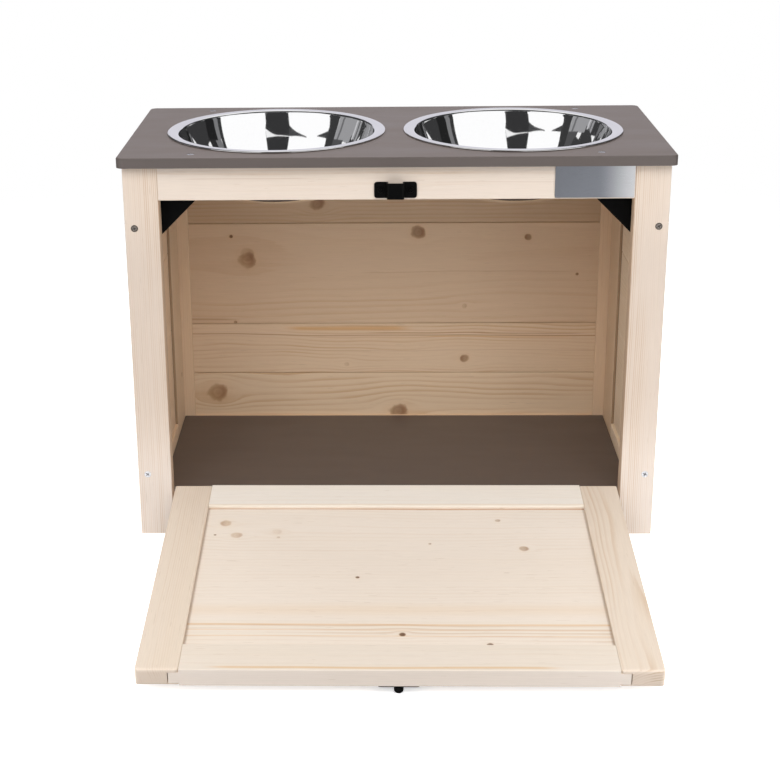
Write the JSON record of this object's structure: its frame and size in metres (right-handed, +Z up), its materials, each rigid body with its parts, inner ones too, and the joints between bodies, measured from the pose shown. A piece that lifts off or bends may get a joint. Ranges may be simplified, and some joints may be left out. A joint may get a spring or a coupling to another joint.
{
  "type": "elevated dog feeder",
  "caption": "Raised wooden pet feeder: storage cabinet on legs with a drop-down bolted door and lift-out steel bowls hung in its top board.",
  "frame": {"origin": "on the floor, at the centre of the rectangle of ground that the feeder covers with its door lying open", "axes": "+X to the right seen from the front, +Y from the front to the back, +Z up"},
  "size_m": [0.6, 0.636, 0.4485],
  "materials": {
    "pine": "clear matt lacquer",
    "stained_board": "taupe stain, satin",
    "black_hardware": "black satin",
    "stainless_steel": "polished",
    "plate_aluminium": "fine brushed",
    "screw_steel": "zinc plated"
  },
  "bodies": {
    "cabinet": {"back_board_1": "pine", "back_board_2": "pine", "back_board_3": "pine", "back_board_4": "pine", "back_bottom_rail": "pine", "back_leg_left": "pine", "back_leg_right": "pine", "back_leg_screws": "screw_steel", "back_top_rail": "pine", "blank_plate": "plate_aluminium", "cleat_screws": "screw_steel", "corner_gusset_left": "black_hardware", "corner_gusset_right": "black_hardware", "floor_cleat_back": "pine", "floor_cleat_front": "pine", "floor_panel": "stained_board", "front_bottom_rail": "pine", "front_leg_left": "pine", "front_leg_right": "pine", "front_leg_screws": "screw_steel", "front_top_rail": "pine", "gusset_screws": "black_hardware", "hinge_fixed_leaf_left": "black_hardware", "hinge_fixed_leaf_right": "black_hardware", "hinge_frame_screws": "black_hardware", "hinge_pin_left": "black_hardware", "hinge_pin_right": "black_hardware", "keeper_screws": "black_hardware", "latch_keeper": "black_hardware", "left_side_board_1": "pine", "left_side_board_2": "pine", "left_side_board_3": "pine", "left_side_bottom_rail": "pine", "left_side_front_stile": "pine", "left_side_rear_stile": "pine", "left_side_top_rail": "pine", "right_side_board_1": "pine", "right_side_board_2": "pine", "right_side_board_3": "pine", "right_side_bottom_rail": "pine", "right_side_front_stile": "pine", "right_side_rear_stile": "pine", "right_side_top_rail": "pine", "top_board": "stained_board", "top_screws": "screw_steel"},
    "door": {"bolt_plate": "black_hardware", "bolt_screws": "black_hardware", "door_free_rail": "pine", "door_hinge_rail": "pine", "door_panel": "pine", "door_stile_left": "pine", "door_stile_right": "pine", "hinge_door_screws": "black_hardware", "hinge_moving_leaf_left": "black_hardware", "hinge_moving_leaf_right": "black_hardware"},
    "bolt_rod": {"bolt_rod": "black_hardware"},
    "bolt_handle": {"bolt_handle": "black_hardware"},
    "bowl_left": {"bowl_left": "stainless_steel"},
    "bowl_right": {"bowl_right": "stainless_steel"}
  },
  "joints": [
    {"name": "door_hinge", "type": "hinge", "parent": "cabinet", "child": "door", "pos_m": [0, 0.03426, 0.043], "axis": [-1, 0, 0], "range_deg": [0, 95.94]},
    {"name": "bolt_slide", "type": "slide", "parent": "door", "child": "bolt_rod", "axis": [0, -0.9946, -0.1035], "range_m": [0, 0.015]},
    {"name": "bolt_turn", "type": "hinge", "parent": "bolt_rod", "child": "bolt_handle", "pos_m": [0, -0.28868, 0.00732], "axis": [0, 0.9946, 0.1035], "range_deg": [0, 180]},
    {"name": "bowl_left_lift", "type": "slide", "parent": "cabinet", "child": "bowl_left", "axis": [0, 0, 1], "range_m": [0, 0.1]},
    {"name": "bowl_right_lift", "type": "slide", "parent": "cabinet", "child": "bowl_right", "axis": [0, 0, 1], "range_m": [0, 0.1]}
  ]
}
